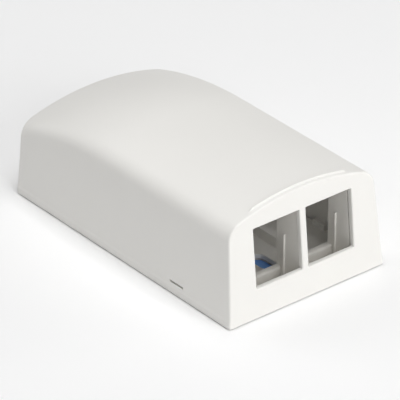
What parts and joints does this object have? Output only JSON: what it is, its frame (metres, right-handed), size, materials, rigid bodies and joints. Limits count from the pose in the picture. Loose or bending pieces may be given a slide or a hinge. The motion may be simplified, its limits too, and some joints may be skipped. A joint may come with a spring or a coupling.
{
  "type": "surface mount jack box",
  "caption": "Low surface mount box with an arched snap-off cover, jack openings in its raked end and an adhesive-backed base.",
  "frame": {"origin": "on the mounting plane, half way along and across the box", "axes": "+Z away from the mounting surface, -Y towards the jack openings, X across the box"},
  "size_m": [0.0494, 0.086, 0.0301],
  "materials": {
    "cover_plastic": "satin off-white moulded plastic",
    "base_plastic": "satin off-white moulded plastic",
    "foam_tape": "closed cell foam tape",
    "liner_film": "blue release film"
  },
  "bodies": {
    "base": {"base": "base_plastic", "adhesive_pad": "foam_tape", "release_liner": "liner_film"},
    "cover": {"cover": "cover_plastic"}
  },
  "joints": [
    {"name": "cover_lift", "type": "slide", "parent": "base", "child": "cover", "axis": [0, 0, 1], "range_m": [0, 0.035]}
  ]
}
